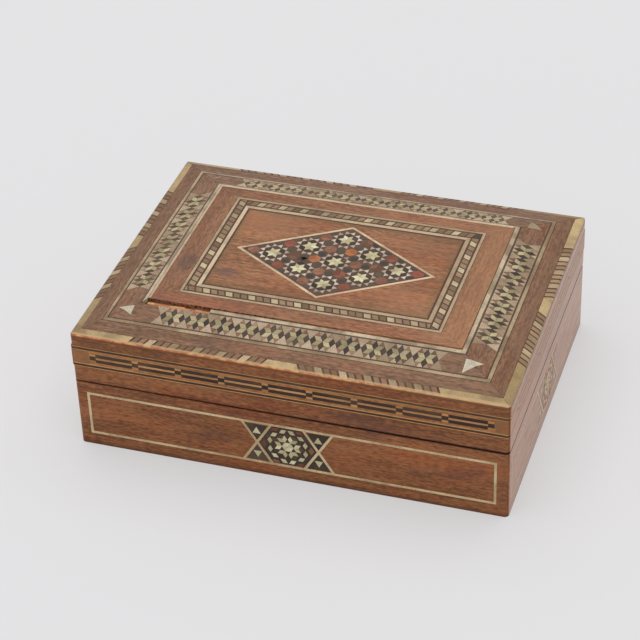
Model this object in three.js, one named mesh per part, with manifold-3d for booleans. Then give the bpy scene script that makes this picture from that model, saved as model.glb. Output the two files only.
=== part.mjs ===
// Inlaid wooden casket with a hinged lid. Millimetres, +Z up, the long front face toward -Y,
// and the origin on the supporting surface, under the middle of the box.
import * as THREE from "three";
import Module from "manifold-3d";
import { mergeVertices } from "three/addons/utils/BufferGeometryUtils.js";

// Overall sizes
const WIDTH = 160;
const DEPTH = 120;
const EDGE_HEIGHT = 48.6; // to the outer edge of the lid
const SLOPE_RISE = 4.8; // from the lid's outer edge to the foot of its raised panel
const PANEL_STEP = 0.5; // riser round the lid's flat, raised panel
const CORNER_RADIUS = 1.5; // upright corners, worn round
const EAVE_RADIUS = 0.8; // outer edge of the lid, worn round

// Seam between the base and the lid
const SEAM_HEIGHT = 28.3;
const SEAM_GAP = 0.6;

// Carcass
const WALL = 6.5;
const VENEER = 1.2;
const BOTTOM_BOARD = 4;
const BOTTOM_REBATE = 3; // how far the bottom board reaches under the walls
const LID_BOARD_EDGE = 4; // thickness of the lid board at its thin outer edge
const LINING = 0.8;
const LINING_STEP = 0.6; // how far the lining stops short of the rim

// Clearances
const GLUE_LINE = 0.1;
const MITRE_GAP = 0.15; // pulled back from a mitre on each side of it
const FINE_MITRE_GAP = 0.075; // the same where the mitre shows
const SEAT_GAP = 0.3; // round the bottom board, the hinge parts and their screws

// Lid pattern: ring widths from the outer edge inward, at the two ends and along the two long sides
const EDGE_BANDING_WIDTH = 3.4;
const BORDER_END_WIDTH = 5.8;
const BORDER_SIDE_WIDTH = 5.3;
const OUTER_STRING_WIDTH = 1.8;
const MARQUETRY_END_WIDTH = 9.15;
const MARQUETRY_SIDE_WIDTH = 8.45;
const THICK_STRING_WIDTH = 2.1;
const FIELD_END_WIDTH = 9.15;
const FIELD_SIDE_WIDTH = 6.6;
const ROPE_BANDING_WIDTH = 6.95;
const LOST_STRING_LENGTH = 26; // broken out of the thick string, from its front left corner

// Lid pattern: diamond with a lattice of six-pointed stars
const DIAMOND_END_MARGIN = 3.8; // from the rope banding to the tips of the diamond
const DIAMOND_SIDE_MARGIN = 1.85;
const DIAMOND_STRING_WIDTH = 1;
const LATTICE_EDGE_WIDTH = 0.4; // dark line between the diamond's string and its lattice
const STAR_RADIUS = 3.25;
const STARS_PER_EDGE = 3;

// Side inlay: a string frame with two crossings and a star panel between them, set into the veneer
const INLAY_DEPTH = 0.7;
const STRING_WIDTH = 1;
const FRAME_INSET = 4.3;
const FRAME_BOTTOM = 5;
const FRAME_TOP = 23.6;
const CROSSING = 11.4; // from the middle of the side to where two strings cross
const CROSSING_ANGLE = THREE.MathUtils.degToRad(58);
const PANEL_STAR_RADIUS = 7;
const PANEL_SEAM = 0.25; // width and depth of the seams in the star panel

// Banding round the lid's front and ends
const BANDING_BOTTOM = 34.9;
const BANDING_TOP = 43.9;

// Hinges
const HINGE_FROM_END = 34; // from each end of the box to the middle of a hinge
const HINGE_LENGTH = 18;
const HINGE_SETBACK = 2; // from the back face to the hinge axis
const STOP_ANGLE = THREE.MathUtils.degToRad(51); // each bevel, so the lid stops at twice this
const LEAF_WIDTH = 4.7; // from the axis inward
const LEAF_THICKNESS = 0.8;
const KNUCKLE_RADIUS = 1.7;
const MIDDLE_KNUCKLE = 6;
const PIN_RADIUS = 0.7;
const SCREW_SPACING = 11;
const SCREW_SETBACK = 3.35; // from the axis inward
const SCREW_RADIUS = 0.6;
const SCREW_LENGTH = 5;
const SCREW_HEAD_RADIUS = 1.1;
const SCREW_HEAD_RISE = 0.12;

// Sizes that follow from those above
const BASE_RIM = SEAM_HEIGHT - SEAM_GAP / 2;
const LID_RIM = SEAM_HEIGHT + SEAM_GAP / 2;
const CARCASS_OUTER = VENEER + GLUE_LINE; // insets from the box's faces
const CARCASS_INNER = CARCASS_OUTER + WALL;
const LID_BOARD_BOTTOM = EDGE_HEIGHT - VENEER - GLUE_LINE - LID_BOARD_EDGE;
const HINGE_Y = DEPTH / 2 - HINGE_SETBACK;
const HINGE_X = WIDTH / 2 - HINGE_FROM_END;
const PANEL_MIDDLE = (FRAME_BOTTOM + FRAME_TOP) / 2;
const TALL = EDGE_HEIGHT + SLOPE_RISE + PANEL_STEP; // overall height

const COLOURS = {
  carcass: [0x8a6844, 0.75, 0],
  veneer: [0x4e3020, 0.45, 0],
  lidVeneer: [0x6b452c, 0.45, 0],
  field: [0x74492f, 0.45, 0],
  centre: [0x8a4f35, 0.45, 0],
  string: [0xcdb48a, 0.5, 0],
  banding: [0xa9703f, 0.5, 0],
  marquetry: [0xb79a6c, 0.5, 0],
  rope: [0x9a6a45, 0.5, 0],
  ground: [0x3a302a, 0.5, 0],
  star: [0xd9cf8e, 0.5, 0],
  lining: [0x5c1f22, 0.95, 0],
  brass: [0x9c7a3c, 0.35, 1],
};

const wasm = await Module();
wasm.setup();

function material(name) {
  const [color, roughness, metalness] = COLOURS[name];
  return new THREE.MeshStandardMaterial({ color, roughness, metalness });
}

function piece(name, geometry, finish) {
  const mesh = new THREE.Mesh(geometry, material(finish));
  mesh.name = name;
  return mesh;
}

// Solids: a mesh's solid in the frame of another mesh, and joins and cuts between meshes
function solidOf(mesh, frame) {
  mesh.updateWorldMatrix(true, false);
  frame.updateWorldMatrix(true, false);
  const geometry = mesh.geometry.clone();
  geometry.deleteAttribute("normal");
  geometry.deleteAttribute("uv");
  geometry.applyMatrix4(frame.matrixWorld.clone().invert().multiply(mesh.matrixWorld));
  const merged = mergeVertices(geometry, 1e-4);
  return new wasm.Manifold(
    new wasm.Mesh({
      numProp: 3,
      vertProperties: merged.attributes.position.array,
      triVerts: new Uint32Array(merged.index.array),
    }),
  );
}

function combine(operation, mesh, others) {
  let solid = solidOf(mesh, mesh);
  for (const other of others) {
    solid = solid[operation](solidOf(other, mesh));
  }
  const result = solid.getMesh();
  const geometry = new THREE.BufferGeometry();
  geometry.setAttribute("position", new THREE.BufferAttribute(result.vertProperties, 3));
  geometry.setIndex(new THREE.BufferAttribute(result.triVerts, 1));
  mesh.geometry = geometry;
  return mesh;
}

const add = (mesh, ...others) => combine("add", mesh, others);
const subtract = (mesh, ...others) => combine("subtract", mesh, others);
const intersect = (mesh, ...others) => combine("intersect", mesh, others);

function box(width, depth, bottom, top) {
  const mesh = new THREE.Mesh(new THREE.BoxGeometry(width, depth, top - bottom));
  mesh.position.z = (top + bottom) / 2;
  return mesh;
}

function polygon(points) {
  return new THREE.Shape(points.map(([x, y]) => new THREE.Vector2(x, y)));
}

function extrude(shape, depth) {
  return new THREE.ExtrudeGeometry(shape, { depth, bevelEnabled: false, curveSegments: 2 });
}

// A section drawn in Y and Z, run along X; and one drawn in X and Z, run along Y
function alongX(section, length) {
  const basis = new THREE.Matrix4().makeBasis(
    new THREE.Vector3(0, 1, 0),
    new THREE.Vector3(0, 0, 1),
    new THREE.Vector3(1, 0, 0),
  );
  return extrude(section, length).applyMatrix4(basis).translate(-length / 2, 0, 0);
}

function alongY(section, length) {
  return extrude(section, length).rotateX(Math.PI / 2).translate(0, length / 2, 0);
}

// Sides: a walk round the box, each side with X along its face, Y inward and Z up
const SIDES = {
  front: { turn: 0, length: WIDTH, reach: DEPTH / 2 },
  right: { turn: Math.PI / 2, length: DEPTH, reach: WIDTH / 2 },
  back: { turn: Math.PI, length: WIDTH, reach: DEPTH / 2 },
  left: { turn: -Math.PI / 2, length: DEPTH, reach: WIDTH / 2 },
};
const INLAID_SIDES = ["front", "right", "left"];

const casket = new THREE.Group();
const frames = {};
for (const [side, { turn, reach }] of Object.entries(SIDES)) {
  const turned = new THREE.Group();
  const face = new THREE.Group();
  turned.rotation.z = turn;
  face.position.y = -reach;
  turned.add(face);
  casket.add(turned);
  frames[side] = face;
}

// The outer edge of a mitred board's plan, from -end to end, with its corners rounded
function outerEdge(end, y, cornerRadius) {
  const plan = new THREE.Shape();
  if (cornerRadius > 0) {
    const [x, middle] = [end - cornerRadius, y + cornerRadius];
    plan.absarc(-x, middle, cornerRadius, -0.75 * Math.PI, -0.5 * Math.PI);
    plan.absarc(x, middle, cornerRadius, -0.5 * Math.PI, -0.25 * Math.PI);
  } else {
    plan.moveTo(-end, y);
    plan.lineTo(end, y);
  }
  return plan;
}

// A board along one side, mitred into its neighbours; outer and inner are insets from the face
function mitredBoard(side, [outer, inner], [bottom, top], gap, cornerRadius = 0) {
  const end = (inset) => SIDES[side].length / 2 - inset - gap;
  const plan = outerEdge(end(outer), outer, cornerRadius);
  plan.lineTo(end(inner), inner);
  plan.lineTo(-end(inner), inner);
  return extrude(plan, top - bottom).translate(0, 0, bottom);
}

// Something set into a side's face: a shape in X and Z, from a little outside it to the depth
function faceInlay(shape, depth, outside = 0) {
  return extrude(shape, depth + outside).rotateX(Math.PI / 2).translate(0, depth, 0);
}

// Hinge cutters: the bevels that stop the lid, and the room for knuckles, leaves and screws
function stopGroove() {
  const clear = SEAT_GAP / 2 / Math.sin(STOP_ANGLE);
  const run = HINGE_SETBACK + VENEER;
  const rise = (run + clear) * Math.tan(STOP_ANGLE);
  const section = polygon([
    [-clear, 0],
    [run, -rise],
    [run, rise],
  ]);
  const groove = new THREE.Mesh(alongX(section, WIDTH + 2));
  groove.position.set(0, HINGE_Y, SEAM_HEIGHT);
  return groove;
}

function rod(radius, length) {
  return new THREE.Mesh(new THREE.CylinderGeometry(radius, radius, length, 24).rotateZ(Math.PI / 2));
}

function hingeRooms() {
  const rooms = [stopGroove()];
  const clear = 2 * SEAT_GAP;
  const seat = SEAM_GAP + 2 * (LEAF_THICKNESS + GLUE_LINE);
  for (const x of [-HINGE_X, HINGE_X]) {
    const knuckleRoom = rod(KNUCKLE_RADIUS + SEAT_GAP, HINGE_LENGTH + clear);
    knuckleRoom.position.set(x, HINGE_Y, SEAM_HEIGHT);
    const leafRoom = box(HINGE_LENGTH + clear, LEAF_WIDTH + SEAT_GAP, -seat / 2, seat / 2);
    leafRoom.position.set(x, HINGE_Y - (LEAF_WIDTH + SEAT_GAP) / 2, SEAM_HEIGHT);
    rooms.push(knuckleRoom, leafRoom);
    for (const along of [-SCREW_SPACING / 2, SCREW_SPACING / 2]) {
      const depth = SEAM_GAP + 2 * (SCREW_LENGTH + SEAT_GAP);
      const radius = SCREW_RADIUS + SEAT_GAP;
      const hole = new THREE.Mesh(new THREE.CylinderGeometry(radius, radius, depth, 12).rotateX(Math.PI / 2));
      hole.position.set(x + along, HINGE_Y - SCREW_SETBACK, SEAM_HEIGHT);
      rooms.push(hole);
    }
  }
  return rooms;
}

const backCutters = hingeRooms();
const HINGED_SIDES = ["right", "back", "left"];

// Carcass of the base: four mitred walls with a rebate that holds the bottom board
function bottomBoard(clear, height) {
  const inset = CARCASS_INNER - BOTTOM_REBATE + SEAT_GAP - clear;
  return box(WIDTH - 2 * inset, DEPTH - 2 * inset, -clear, height);
}

const carcassInsets = [CARCASS_OUTER, CARCASS_INNER];
for (const side of Object.keys(SIDES)) {
  const geometry = mitredBoard(side, carcassInsets, [0, BASE_RIM], MITRE_GAP);
  const wall = piece(`base_${side}_wall`, geometry, "carcass");
  frames[side].add(wall);
  subtract(wall, bottomBoard(SEAT_GAP, BOTTOM_BOARD + GLUE_LINE));
  if (HINGED_SIDES.includes(side)) {
    subtract(wall, ...backCutters);
  }
}
const boardMesh = bottomBoard(0, BOTTOM_BOARD);
const bottom = piece("base_bottom_board", boardMesh.geometry, "carcass");
bottom.position.copy(boardMesh.position);
casket.add(bottom);

// Side inlays of the base: string frame, star panel and the veneer with their grooves
function frameBar(x, z, length, angle, grow) {
  const geometry = new THREE.BoxGeometry(length + 2 * grow, INLAY_DEPTH + 2 * grow, STRING_WIDTH + 2 * grow);
  geometry.rotateY(-angle);
  const bar = new THREE.Mesh(geometry);
  bar.position.set(x, INLAY_DEPTH / 2, z);
  return bar;
}

function stringFrame(side, grow) {
  const length = SIDES[side].length - 2 * FRAME_INSET;
  const height = FRAME_TOP - FRAME_BOTTOM;
  const slant = (height - STRING_WIDTH) / Math.sin(CROSSING_ANGLE);
  const bars = [
    frameBar(0, FRAME_TOP - STRING_WIDTH / 2, length, 0, grow),
    frameBar(0, FRAME_BOTTOM + STRING_WIDTH / 2, length, 0, grow),
  ];
  for (const end of [-1, 1]) {
    bars.push(
      frameBar((end * (length - STRING_WIDTH)) / 2, PANEL_MIDDLE, height, Math.PI / 2, grow),
      frameBar(end * CROSSING, PANEL_MIDDLE, slant, CROSSING_ANGLE, grow),
      frameBar(end * CROSSING, PANEL_MIDDLE, slant, -CROSSING_ANGLE, grow),
    );
  }
  const frame = add(...bars);
  frame.updateMatrix();
  return frame.geometry.applyMatrix4(frame.matrix);
}

function panelShape(grow) {
  const half = (FRAME_TOP - FRAME_BOTTOM) / 2 - STRING_WIDTH - GLUE_LINE + grow;
  const tip = CROSSING - (STRING_WIDTH / 2 + GLUE_LINE - grow) / Math.sin(CROSSING_ANGLE);
  const top = tip - half / Math.tan(CROSSING_ANGLE);
  const corners = [
    [tip, 0],
    [top, half],
    [-top, half],
    [-tip, 0],
    [-top, -half],
    [top, -half],
  ];
  return polygon(corners.map(([x, z]) => [x, z + PANEL_MIDDLE]));
}

// A six-pointed star of two crossed triangles, one point along +X
function starPoints(radius, [x, y] = [0, 0]) {
  const points = [];
  for (let corner = 0; corner < 12; corner += 1) {
    const reach = corner % 2 === 0 ? radius : radius / Math.sqrt(3);
    const angle = (corner * Math.PI) / 6;
    points.push([x + reach * Math.cos(angle), y + reach * Math.sin(angle)]);
  }
  return points;
}

function starPanel() {
  const panel = new THREE.Mesh(faceInlay(panelShape(0), INLAY_DEPTH));
  for (const radius of [PANEL_STAR_RADIUS, PANEL_STAR_RADIUS / Math.sqrt(3)]) {
    const seam = polygon(starPoints(radius, [0, PANEL_MIDDLE]));
    seam.holes.push(polygon(starPoints(radius - 2 * PANEL_SEAM, [0, PANEL_MIDDLE])));
    subtract(panel, new THREE.Mesh(faceInlay(seam, PANEL_SEAM, GLUE_LINE)));
  }
  return panel.geometry;
}

for (const side of Object.keys(SIDES)) {
  const geometry = mitredBoard(side, [0, VENEER], [0, BASE_RIM], FINE_MITRE_GAP, CORNER_RADIUS);
  const veneer = piece(`base_${side}_veneer`, geometry, "veneer");
  if (INLAID_SIDES.includes(side)) {
    const frameRoom = stringFrame(side, GLUE_LINE);
    const panelRoom = faceInlay(panelShape(GLUE_LINE), INLAY_DEPTH + GLUE_LINE, GLUE_LINE);
    subtract(veneer, new THREE.Mesh(frameRoom), new THREE.Mesh(panelRoom));
    frames[side].add(
      piece(`base_${side}_string_frame`, stringFrame(side, 0), "string"),
      piece(`base_${side}_star_panel`, starPanel(), "ground"),
    );
  }
  frames[side].add(veneer);
  if (HINGED_SIDES.includes(side)) {
    subtract(veneer, ...backCutters);
  }
}

// Linings: a felt tray in the base, and one upside down in the lid
function liningTray(name, closedEnd, openEnd) {
  const inset = CARCASS_INNER + GLUE_LINE;
  const up = Math.sign(openEnd - closedEnd);
  const [low, high] = [closedEnd, openEnd].sort((a, b) => a - b);
  const tray = box(WIDTH - 2 * inset, DEPTH - 2 * inset, low, high);
  const hollow = box(
    WIDTH - 2 * (inset + LINING),
    DEPTH - 2 * (inset + LINING),
    up > 0 ? low + LINING : low - LINING,
    up > 0 ? high + LINING : high - LINING,
  );
  subtract(tray, hollow);
  const lining = piece(name, tray.geometry, "lining");
  lining.position.copy(tray.position);
  casket.add(lining);
}

liningTray("base_lining", BOTTOM_BOARD + GLUE_LINE, BASE_RIM - LINING_STEP);
liningTray("lid_lining", LID_BOARD_BOTTOM - GLUE_LINE, LID_RIM + LINING_STEP);

// Carcass of the lid: four mitred rails under a hipped board
for (const side of Object.keys(SIDES)) {
  const heights = [LID_RIM, LID_BOARD_BOTTOM - GLUE_LINE];
  const geometry = mitredBoard(side, carcassInsets, heights, MITRE_GAP);
  const rail = piece(`lid_${side}_rail`, geometry, "carcass");
  frames[side].add(rail);
  if (HINGED_SIDES.includes(side)) {
    subtract(rail, ...backCutters);
  }
}

// Rings of the lid's pattern from its edge inward, each with its outer and inner half sizes
const RINGS = {};
let ringOuter = [WIDTH / 2, DEPTH / 2];
for (const [name, endWidth, sideWidth] of [
  ["edgeBanding", EDGE_BANDING_WIDTH, EDGE_BANDING_WIDTH],
  ["border", BORDER_END_WIDTH, BORDER_SIDE_WIDTH],
  ["outerString", OUTER_STRING_WIDTH, OUTER_STRING_WIDTH],
  ["marquetry", MARQUETRY_END_WIDTH, MARQUETRY_SIDE_WIDTH],
  ["thickString", THICK_STRING_WIDTH, THICK_STRING_WIDTH],
  ["field", FIELD_END_WIDTH, FIELD_SIDE_WIDTH],
  ["ropeBanding", ROPE_BANDING_WIDTH, ROPE_BANDING_WIDTH],
]) {
  const ringInner = [ringOuter[0] - endWidth, ringOuter[1] - sideWidth];
  RINGS[name] = { outer: ringOuter, inner: ringInner };
  ringOuter = ringInner;
}
const [PANEL_X, PANEL_Y] = RINGS.field.outer;
const [CENTRE_X, CENTRE_Y] = RINGS.ropeBanding.inner;

// The surface of the lid, as the solid below it: hipped up to the panel, which stands a step higher
function roofSection(half, panelHalf, drop, overhang) {
  const slope = SLOPE_RISE / (half - panelHalf);
  const foot = EDGE_HEIGHT + SLOPE_RISE - drop;
  const eave = EDGE_HEIGHT - slope * overhang - drop;
  const reach = half + overhang;
  const section = new THREE.Shape();
  section.moveTo(reach, 0);
  if (overhang > 0) {
    section.lineTo(reach, eave);
  } else {
    section.lineTo(reach, eave - EAVE_RADIUS);
    section.quadraticCurveTo(reach, eave, reach - EAVE_RADIUS, eave + slope * EAVE_RADIUS);
  }
  section.lineTo(panelHalf, foot);
  section.lineTo(panelHalf, foot + PANEL_STEP);
  const right = section.getPoints(2);
  const left = right.map(({ x, y }) => new THREE.Vector2(-x, y)).reverse();
  return new THREE.Shape([...right, ...left]);
}

function roof(drop, overhang) {
  const reach = WIDTH + DEPTH;
  const across = new THREE.Mesh(alongX(roofSection(DEPTH / 2, PANEL_Y, drop, overhang), reach));
  const lengthwise = new THREE.Mesh(alongY(roofSection(WIDTH / 2, PANEL_X, drop, overhang), reach));
  return intersect(across, lengthwise);
}

const lidBoard = intersect(
  box(WIDTH - 2 * CARCASS_OUTER, DEPTH - 2 * CARCASS_OUTER, LID_BOARD_BOTTOM, TALL),
  roof(VENEER + GLUE_LINE, VENEER),
);
const topBoard = piece("lid_top_board", lidBoard.geometry, "carcass");
topBoard.position.copy(lidBoard.position);
casket.add(topBoard);

// Side veneers of the lid, grooved for the banding on the front and the ends
for (const side of Object.keys(SIDES)) {
  const heights = [LID_RIM, EDGE_HEIGHT - VENEER - GLUE_LINE];
  const geometry = mitredBoard(side, [0, VENEER], heights, FINE_MITRE_GAP, CORNER_RADIUS);
  const veneer = piece(`lid_${side}_veneer`, geometry, "veneer");
  if (INLAID_SIDES.includes(side)) {
    const insets = [0, INLAY_DEPTH];
    const strip = mitredBoard(side, insets, [BANDING_BOTTOM, BANDING_TOP], FINE_MITRE_GAP, CORNER_RADIUS);
    const [low, high] = [BANDING_BOTTOM - GLUE_LINE, BANDING_TOP + GLUE_LINE];
    subtract(veneer, box(SIDES[side].length, 2 * (INLAY_DEPTH + GLUE_LINE), low, high));
    frames[side].add(piece(`lid_${side}_banding`, strip, "banding"));
  }
  frames[side].add(veneer);
  if (HINGED_SIDES.includes(side)) {
    subtract(veneer, ...backCutters);
  }
}

// Lid pattern: one layer of veneer over the hipped board, sawn into rings, bands and the diamond
const layer = subtract(roof(0, 0), roof(VENEER, VENEER));

function lidPiece(name, plan, finish) {
  const mesh = intersect(piece(name, extrude(plan, TALL), finish), layer);
  casket.add(mesh);
  return mesh;
}

function rectangle([x, y], grow) {
  const [right, back] = [x + grow, y + grow];
  return polygon([
    [-right, -back],
    [right, -back],
    [right, back],
    [-right, back],
  ]);
}

function ringPlan({ outer, inner }) {
  const plan = rectangle(outer, -GLUE_LINE / 2);
  plan.holes.push(rectangle(inner, GLUE_LINE / 2));
  return plan;
}

// One of the four mitred strips of a ring: the part of it that faces that side
function ringStrip(name, side, { outer, inner }, finish, cornerRadius = 0) {
  const lengthwise = side === "front" || side === "back";
  const [outerEnd, outerReach] = lengthwise ? outer : [...outer].reverse();
  const [innerEnd, innerReach] = lengthwise ? inner : [...inner].reverse();
  const near = outerReach - (cornerRadius > 0 ? 0 : GLUE_LINE / 2);
  const far = innerReach + GLUE_LINE / 2;
  const lean = (outerEnd - innerEnd) / (outerReach - innerReach);
  const end = (reach) => outerEnd - (outerReach - reach) * lean - FINE_MITRE_GAP;
  const plan = outerEdge(end(near), -near, cornerRadius);
  plan.lineTo(end(far), -far);
  plan.lineTo(-end(far), -far);
  const mesh = piece(name, extrude(plan, TALL), finish);
  frames[side].parent.add(mesh);
  intersect(mesh, layer);
}

for (const side of Object.keys(SIDES)) {
  ringStrip(`lid_${side}_edge_banding`, side, RINGS.edgeBanding, "banding", CORNER_RADIUS);
  ringStrip(`lid_${side}_marquetry`, side, RINGS.marquetry, "marquetry");
}
lidPiece("lid_border_veneer", ringPlan(RINGS.border), "lidVeneer");
lidPiece("lid_outer_string", ringPlan(RINGS.outerString), "string");
const thickString = lidPiece("lid_thick_string", ringPlan(RINGS.thickString), "string");
lidPiece("lid_field_veneer", ringPlan(RINGS.field), "field");
lidPiece("lid_rope_banding", ringPlan(RINGS.ropeBanding), "rope");

// The stretch broken out of the thick string, from the mitre at its front left corner
const [stringX, stringY] = RINGS.thickString.outer;
const lost = polygon([
  [-stringX, -stringY],
  [-stringX + LOST_STRING_LENGTH, -stringY],
  [-stringX + LOST_STRING_LENGTH, THICK_STRING_WIDTH - stringY],
  [THICK_STRING_WIDTH - stringX, THICK_STRING_WIDTH - stringY],
]);
subtract(thickString, new THREE.Mesh(extrude(lost, TALL)));

// The diamond, drawn in from its outline by a width
function diamondTips(inset) {
  const x = CENTRE_X - DIAMOND_END_MARGIN;
  const y = CENTRE_Y - DIAMOND_SIDE_MARGIN;
  const scale = 1 - (inset * Math.hypot(x, y)) / (x * y);
  return [x * scale, y * scale];
}

function diamond(inset) {
  const [x, y] = diamondTips(inset);
  return polygon([
    [x, 0],
    [0, y],
    [-x, 0],
    [0, -y],
  ]);
}

const centrePlan = rectangle([CENTRE_X, CENTRE_Y], -GLUE_LINE / 2);
centrePlan.holes.push(diamond(-GLUE_LINE));
lidPiece("lid_centre_veneer", centrePlan, "centre");

const stringPlan = diamond(0);
stringPlan.holes.push(diamond(DIAMOND_STRING_WIDTH));
lidPiece("lid_diamond_string", stringPlan, "string");

// Star lattice: the dark ground, and a star seated in each of its pockets
const groundPlan = diamond(DIAMOND_STRING_WIDTH + GLUE_LINE);
const [latticeX, latticeY] = diamondTips(DIAMOND_STRING_WIDTH + LATTICE_EDGE_WIDTH);
const lattice = [];
for (let row = 0; row < STARS_PER_EDGE; row += 1) {
  for (let column = 0; column < STARS_PER_EDGE; column += 1) {
    const x = ((row + column - STARS_PER_EDGE + 1) * latticeX) / STARS_PER_EDGE;
    const y = ((row - column) * latticeY) / STARS_PER_EDGE;
    lattice.push([x, y]);
  }
}
for (const centre of lattice) {
  groundPlan.holes.push(polygon(starPoints(STAR_RADIUS + 2 * GLUE_LINE, centre)));
}
lidPiece("lid_star_ground", groundPlan, "ground");
lattice.forEach((centre, index) => {
  lidPiece(`lid_star_${index + 1}`, polygon(starPoints(STAR_RADIUS, centre)), "star");
});

// Hinges: a pin through three knuckles, and two leaves screwed into the rims
// up is 1 for the lid's leaf and -1 for the base's; spans are the stretches of its knuckles along X
function leaf(name, x, up, spans) {
  const near = KNUCKLE_RADIUS + SEAT_GAP;
  const rim = SEAM_GAP / 2;
  const heights = up > 0 ? [rim, rim + LEAF_THICKNESS] : [-rim - LEAF_THICKNESS, -rim];
  const plate = box(HINGE_LENGTH, LEAF_WIDTH - near, ...heights);
  plate.position.y = -(LEAF_WIDTH + near) / 2;
  const parts = [];
  for (const [from, to] of spans) {
    const tongue = box(to - from, near + GLUE_LINE, ...heights);
    tongue.position.x = (from + to) / 2;
    tongue.position.y = -(near + GLUE_LINE) / 2;
    const knuckle = rod(KNUCKLE_RADIUS, to - from);
    knuckle.position.x = (from + to) / 2;
    parts.push(tongue, knuckle);
  }
  for (const along of [-SCREW_SPACING / 2, SCREW_SPACING / 2]) {
    const profile = [
      [0, -SCREW_HEAD_RISE],
      [SCREW_HEAD_RADIUS - SCREW_HEAD_RISE, -SCREW_HEAD_RISE],
      [SCREW_HEAD_RADIUS, 0],
      [SCREW_HEAD_RADIUS, LEAF_THICKNESS / 2],
      [SCREW_RADIUS, LEAF_THICKNESS],
      [SCREW_RADIUS, SCREW_LENGTH - SCREW_RADIUS],
      [0, SCREW_LENGTH],
    ];
    const points = profile.map(([radius, height]) => new THREE.Vector2(radius, height));
    const geometry = new THREE.LatheGeometry(points, 12).rotateX((up * Math.PI) / 2);
    const screw = new THREE.Mesh(geometry);
    screw.position.set(along, -SCREW_SETBACK, up * rim);
    parts.push(screw);
  }
  add(plate, ...parts);
  subtract(plate, rod(PIN_RADIUS + SEAT_GAP, HINGE_LENGTH + 2));
  const result = piece(name, plate.geometry, "brass");
  result.position.set(x, HINGE_Y + plate.position.y, SEAM_HEIGHT + plate.position.z);
  casket.add(result);
}

const middle = MIDDLE_KNUCKLE / 2;
const outerKnuckles = [
  [-HINGE_LENGTH / 2, -middle - SEAT_GAP],
  [middle + SEAT_GAP, HINGE_LENGTH / 2],
];
for (const [name, x] of [
  ["hinge_left", -HINGE_X],
  ["hinge_right", HINGE_X],
]) {
  leaf(`${name}_base_leaf`, x, -1, outerKnuckles);
  leaf(`${name}_lid_leaf`, x, 1, [[-middle, middle]]);
  const pin = piece(`${name}_pin`, rod(PIN_RADIUS, HINGE_LENGTH).geometry, "brass");
  pin.position.set(x, HINGE_Y, SEAM_HEIGHT);
  casket.add(pin);
}

export default casket;
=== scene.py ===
import math
import random

import bmesh
import bpy
from mathutils import Matrix, Vector
from mathutils import noise as perlin


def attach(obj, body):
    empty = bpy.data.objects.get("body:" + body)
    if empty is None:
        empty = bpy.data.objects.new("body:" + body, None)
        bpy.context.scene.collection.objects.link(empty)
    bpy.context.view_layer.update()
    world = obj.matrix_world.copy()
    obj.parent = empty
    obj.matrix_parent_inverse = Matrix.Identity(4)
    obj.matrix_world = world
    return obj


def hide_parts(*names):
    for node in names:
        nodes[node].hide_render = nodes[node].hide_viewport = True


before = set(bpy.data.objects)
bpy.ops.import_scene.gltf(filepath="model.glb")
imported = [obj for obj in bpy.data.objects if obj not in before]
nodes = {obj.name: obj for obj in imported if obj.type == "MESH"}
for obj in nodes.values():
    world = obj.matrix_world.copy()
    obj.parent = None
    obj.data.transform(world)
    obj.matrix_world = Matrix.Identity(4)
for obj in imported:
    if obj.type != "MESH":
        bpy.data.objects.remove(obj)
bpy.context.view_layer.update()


# Carcass: plain poplar boards, mitred and glued, that carry all the veneers. It shows at the rims,
# under the bottom, inside the hinge rooms, and at the bottom of the groove where a string is lost,
# which is painted dark there as shade under the field's rim.
class Wire:
    """A socket that feeds others: sums and products of wires add Math nodes, add() puts in any other node."""

    def __init__(self, socket):
        self.socket = socket

    def add(self, kind, settings, sockets, output=0):
        """Puts a node beside this one: first its settings, then its sockets, set or linked."""
        tree = self.socket.id_data
        node = tree.nodes.new("ShaderNode" + kind)
        for name, value in settings.items():
            setattr(node, name, value)
        for name, value in sockets.items():
            if isinstance(value, Wire):
                tree.links.new(value.socket, node.inputs[name])
            else:
                node.inputs[name].default_value = value
        return Wire(node.outputs[output])

    def maths(self, operation, first, second=0.0):
        return self.add("Math", {"operation": operation}, {0: first, 1: second})

    def __add__(self, other):
        return self.maths("ADD", self, other)

    def __sub__(self, other):
        return self.maths("SUBTRACT", self, other)

    def __rsub__(self, other):
        return self.maths("SUBTRACT", other, self)

    def __mul__(self, other):
        return self.maths("MULTIPLY", self, other)

    def __lt__(self, other):
        return self.maths("LESS_THAN", self, other)

    def __gt__(self, other):
        return self.maths("GREATER_THAN", self, other)

    def __abs__(self):
        return self.maths("ABSOLUTE", self)

    __radd__ = __add__
    __rmul__ = __mul__


def tone(red, green, blue):
    """A colour as the eye sees it, from 0 to 255, made linear for the shader."""
    return (*(((part / 255 + 0.055) / 1.055) ** 2.4 for part in (red, green, blue)), 1.0)


def finish(name, recipe):
    """A material whose recipe turns the place on the piece, in millimetres, into the shader's sockets."""
    made = bpy.data.materials.new(name)
    made.use_nodes = True
    tree = made.node_tree
    shader = tree.nodes["Principled BSDF"]
    metres = Wire(tree.nodes.new("ShaderNodeTexCoord").outputs["Object"])
    place = metres.add("VectorMath", {"operation": "SCALE"}, {0: metres, "Scale": 1000.0})
    for socket, value in recipe(place).items():
        if isinstance(value, Wire):
            tree.links.new(value.socket, shader.inputs[socket])
        else:
            shader.inputs[socket].default_value = value
    return made


def parts(place):
    return [place.add("SeparateXYZ", {}, {0: place}, output) for output in range(3)]


def turned(place, order):
    """The place with its axes in another order, so that fibres run along another one."""
    axes = parts(place)
    return place.add("CombineXYZ", {}, {slot: axes[axis] for slot, axis in enumerate(order)})


def rise(value, low, high):
    """A smooth step from 0 at low to 1 at high."""
    settings = {"interpolation_type": "SMOOTHSTEP"}
    return value.add("MapRange", settings, {"Value": value, "From Min": low, "From Max": high})


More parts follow.
